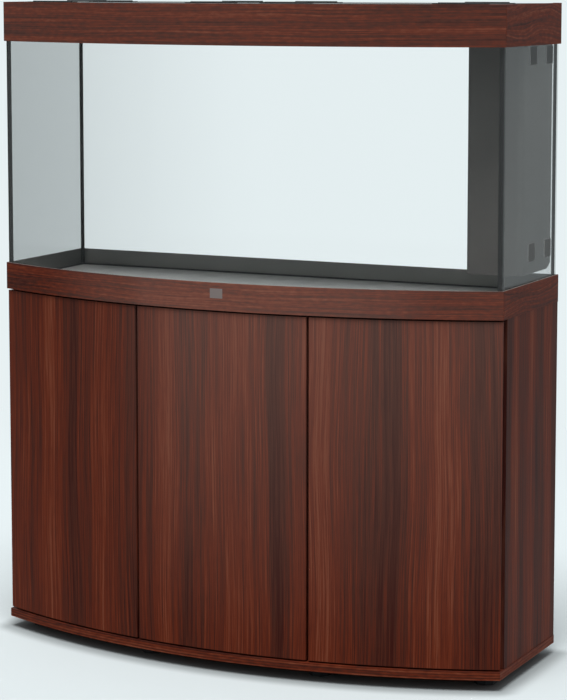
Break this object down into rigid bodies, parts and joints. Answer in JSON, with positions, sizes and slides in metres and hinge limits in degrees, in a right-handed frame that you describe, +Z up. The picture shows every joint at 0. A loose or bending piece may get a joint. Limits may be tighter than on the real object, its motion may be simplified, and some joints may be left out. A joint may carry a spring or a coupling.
{
  "type": "aquarium on stand",
  "caption": "Bow-fronted glass aquarium with lift-off hood, flaps and corner filter on a wooden cabinet with curved push-to-open doors.",
  "frame": {"origin": "centre of the footprint on the floor", "axes": "+X to the right of someone facing the bowed front, -Y out of the front, +Z up"},
  "size_m": [1.21, 0.46, 1.451],
  "materials": {
    "walnut_decor": "dark walnut decor on chipboard, satin",
    "walnut_inside": "dark walnut decor, inside",
    "back_board": "thin dark fibreboard",
    "black_plastic": "fine-textured black moulding",
    "filter_black": "satin black moulding",
    "grey_plastic": "grey moulding",
    "nickel": "nickel-plated steel",
    "clear_glass": "float glass, polished edges",
    "floor_glass": "float glass over a dark base",
    "black_silicone": "black silicone",
    "blue_sponge": "open-cell foam",
    "heater_glass": "dark glass tube",
    "white_housing": "white reflector moulding",
    "opal_tube": "opal tube"
  },
  "bodies": {
    "stand_and_tank": {"base_board": "walnut_decor", "side_panel_left": "walnut_decor", "side_panel_right": "walnut_decor", "partition_left": "walnut_inside", "partition_right": "walnut_inside", "top_board": "walnut_inside", "back_panel": "back_board", "shelf_left": "walnut_inside", "shelf_right": "walnut_inside", "shelf_supports": "grey_plastic", "feet": "black_plastic", "hinge_arms": "nickel", "catch_housings": "grey_plastic", "base_frame": "black_plastic", "base_frame_band": "walnut_decor", "badge_plate": "grey_plastic", "bottom_pane": "floor_glass", "front_pane": "clear_glass", "side_pane_left": "clear_glass", "side_pane_right": "clear_glass", "rear_pane": "clear_glass", "silicone_seams": "black_silicone", "cross_brace": "clear_glass", "filter_housing": "filter_black", "filter_lid": "filter_black", "filter_pads": "black_silicone", "filter_baskets": "grey_plastic", "filter_sponges": "blue_sponge", "filter_pump": "filter_black", "heater": "heater_glass"},
    "left_door": {"door_left": "walnut_decor", "door_left_cups": "nickel", "door_left_strike": "nickel"},
    "centre_door": {"door_centre": "walnut_decor", "door_centre_cups": "nickel", "door_centre_strike": "nickel"},
    "right_door": {"door_right": "walnut_decor", "door_right_cups": "nickel", "door_right_strike": "nickel"},
    "left_catch": {"catch_plunger_left": "grey_plastic"},
    "centre_catch": {"catch_plunger_centre": "grey_plastic"},
    "right_catch": {"catch_plunger_right": "grey_plastic"},
    "hood": {"hood_frame": "black_plastic", "hood_band": "walnut_decor", "cable_cover": "black_plastic", "cable_glands": "black_silicone", "light_unit": "white_housing", "light_tubes": "opal_tube", "tube_caps": "grey_plastic"},
    "front_left_flap": {"flap_front_left": "black_plastic"},
    "front_right_flap": {"flap_front_right": "black_plastic"},
    "rear_left_flap": {"flap_rear_left": "black_plastic"},
    "rear_right_flap": {"flap_rear_right": "black_plastic"}
  },
  "joints": [
    {"name": "left_door_hinge", "type": "hinge", "parent": "stand_and_tank", "child": "left_door", "pos_m": [-0.5922, -0.0965, 0.4165], "axis": [0, 0, -1], "range_deg": [0, 100]},
    {"name": "centre_door_hinge", "type": "hinge", "parent": "stand_and_tank", "child": "centre_door", "pos_m": [-0.19361, -0.20553, 0.4165], "axis": [0, 0, -1], "range_deg": [0, 100]},
    {"name": "right_door_hinge", "type": "hinge", "parent": "stand_and_tank", "child": "right_door", "pos_m": [0.5922, -0.0965, 0.4165], "axis": [0, 0, 1], "range_deg": [0, 100]},
    {"name": "left_catch_push", "type": "slide", "parent": "stand_and_tank", "child": "left_catch", "axis": [0, 1, 0], "range_m": [0, 0.003], "stiffness_N_per_m": 300, "springref_m": -0.01},
    {"name": "centre_catch_push", "type": "slide", "parent": "stand_and_tank", "child": "centre_catch", "axis": [0, 1, 0], "range_m": [0, 0.003], "stiffness_N_per_m": 300, "springref_m": -0.01},
    {"name": "right_catch_push", "type": "slide", "parent": "stand_and_tank", "child": "right_catch", "axis": [0, 1, 0], "range_m": [0, 0.003], "stiffness_N_per_m": 300, "springref_m": -0.01},
    {"name": "hood_lift", "type": "slide", "parent": "stand_and_tank", "child": "hood", "axis": [0, 0, 1], "range_m": [0, 0.12]},
    {"name": "front_left_flap_hinge", "type": "hinge", "parent": "hood", "child": "front_left_flap", "pos_m": [0, -0.075, 1.44], "axis": [-1, 0, 0], "range_deg": [0, 100]},
    {"name": "front_right_flap_hinge", "type": "hinge", "parent": "hood", "child": "front_right_flap", "pos_m": [0, -0.075, 1.44], "axis": [-1, 0, 0], "range_deg": [0, 100]},
    {"name": "rear_left_flap_hinge", "type": "hinge", "parent": "hood", "child": "rear_left_flap", "pos_m": [0, 0.075, 1.44], "axis": [1, 0, 0], "range_deg": [0, 100]},
    {"name": "rear_right_flap_hinge", "type": "hinge", "parent": "hood", "child": "rear_right_flap", "pos_m": [0, 0.075, 1.44], "axis": [1, 0, 0], "range_deg": [0, 100]}
  ]
}
